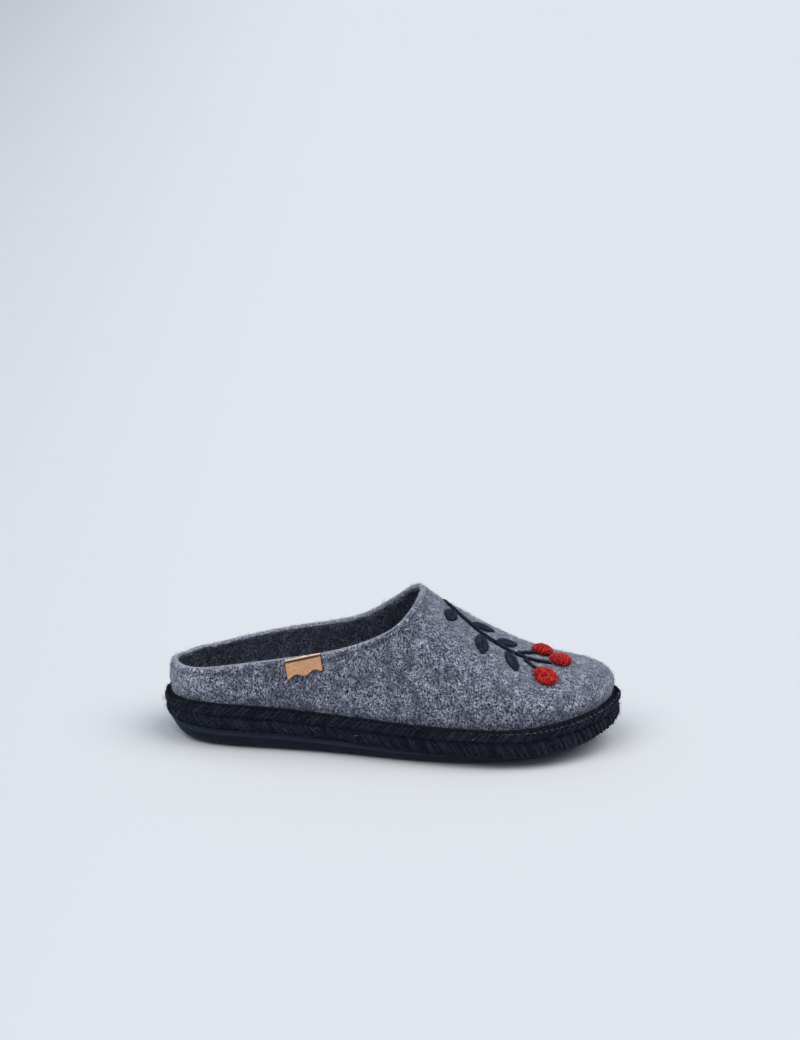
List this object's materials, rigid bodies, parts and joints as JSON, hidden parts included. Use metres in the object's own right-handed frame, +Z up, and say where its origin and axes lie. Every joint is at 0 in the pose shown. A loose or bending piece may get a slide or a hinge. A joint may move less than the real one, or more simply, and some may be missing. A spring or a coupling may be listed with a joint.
{
  "type": "house slipper",
  "caption": "Felt mule slipper for the right foot with a plaited band around a rubber sole, an open collar, a small leather tag and a raised berry sprig on the vamp.",
  "frame": {"origin": "middle of the footprint's bounding box, on the floor plane under the flat of the sole", "axes": "+X from heel to toe, +Y to the medial (inner) side, +Z up"},
  "size_m": [0.2714, 0.0986, 0.0918],
  "materials": {
    "rubber_black": "satin moulded rubber",
    "insole_felt": "napped charcoal felt",
    "felt_grey": "heather grey wool felt",
    "braid_yarn_black": "plaited yarn",
    "leather_tan": "matt natural leather",
    "sprig_yarn_black": "stitched yarn",
    "sprig_yarn_red": "looped yarn"
  },
  "bodies": {
    "root": {"outsole": "rubber_black", "insole": "insole_felt", "upper": "felt_grey", "braid_band": "braid_yarn_black", "leather_tag": "leather_tan", "sprig_stem": "sprig_yarn_black", "sprig_stalk_1": "sprig_yarn_black", "sprig_stalk_2": "sprig_yarn_black", "sprig_leaf_1": "sprig_yarn_black", "sprig_leaf_2": "sprig_yarn_black", "sprig_leaf_3": "sprig_yarn_black", "sprig_leaf_4": "sprig_yarn_black", "sprig_leaf_5": "sprig_yarn_black", "sprig_berry_1": "sprig_yarn_red", "sprig_berry_2": "sprig_yarn_red", "sprig_berry_3": "sprig_yarn_red"}
  },
  "joints": []
}
